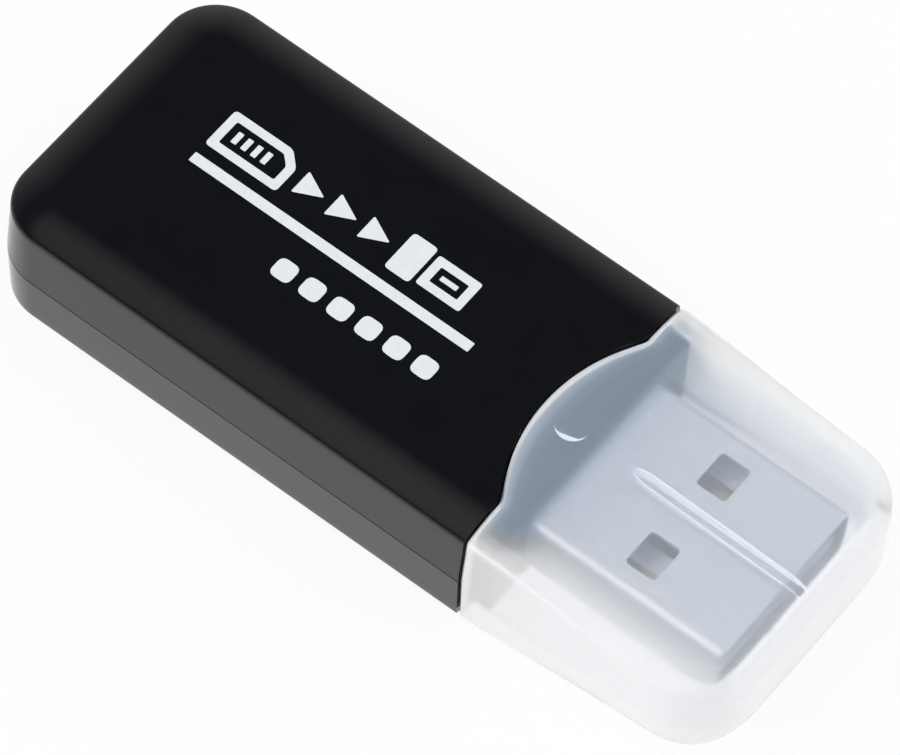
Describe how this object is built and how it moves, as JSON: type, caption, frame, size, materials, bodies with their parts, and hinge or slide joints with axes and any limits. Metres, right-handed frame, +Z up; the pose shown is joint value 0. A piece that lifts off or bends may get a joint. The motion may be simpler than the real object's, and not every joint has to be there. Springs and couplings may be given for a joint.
{
  "type": "memory card reader",
  "caption": "Pocket memory card reader: glossy black two-part housing with a card slot in its rear end, a flat rectangular plug and a frosted pull-off cap.",
  "frame": {"origin": "on the surface the reader lies on, under the middle of the capped reader", "axes": "+X from the card slot at the rear to the cap's front, +Y across, +Z up, printed face on top"},
  "size_m": [0.0504, 0.0198, 0.0087],
  "materials": {
    "housing_black": "moulded glossy black",
    "cap_frosted": "moulded, frosted, see-through",
    "plug_steel": "bright plated sheet",
    "insulator_white": "moulded white",
    "contact_gold": "gold plated",
    "board_green": "green solder mask",
    "socket_black": "moulded black",
    "socket_steel": "stamped sheet",
    "chip_black": "moulded resin",
    "lead_tin": "tinned",
    "capacitor_tan": "fired ceramic",
    "resistor_black": "glazed ceramic"
  },
  "bodies": {
    "reader": {"top_shell": "housing_black", "bottom_shell": "housing_black", "plug_shell": "plug_steel", "plug_insulator": "insulator_white", "circuit_board": "board_green", "socket_base": "socket_black", "socket_cover": "socket_steel", "controller_chip": "chip_black", "controller_leads": "lead_tin", "plug_contact_1": "contact_gold", "plug_contact_2": "contact_gold", "plug_contact_3": "contact_gold", "plug_contact_4": "contact_gold", "socket_contact_1": "contact_gold", "socket_contact_2": "contact_gold", "socket_contact_3": "contact_gold", "socket_contact_4": "contact_gold", "socket_contact_5": "contact_gold", "socket_contact_6": "contact_gold", "socket_contact_7": "contact_gold", "socket_contact_8": "contact_gold", "capacitor_1": "capacitor_tan", "capacitor_2": "capacitor_tan", "resistor_1": "resistor_black", "resistor_2": "resistor_black"},
    "cap": {"cap": "cap_frosted"}
  },
  "joints": [
    {"name": "cap_slide", "type": "slide", "parent": "reader", "child": "cap", "axis": [1, 0, 0], "range_m": [0, 0.02]}
  ]
}
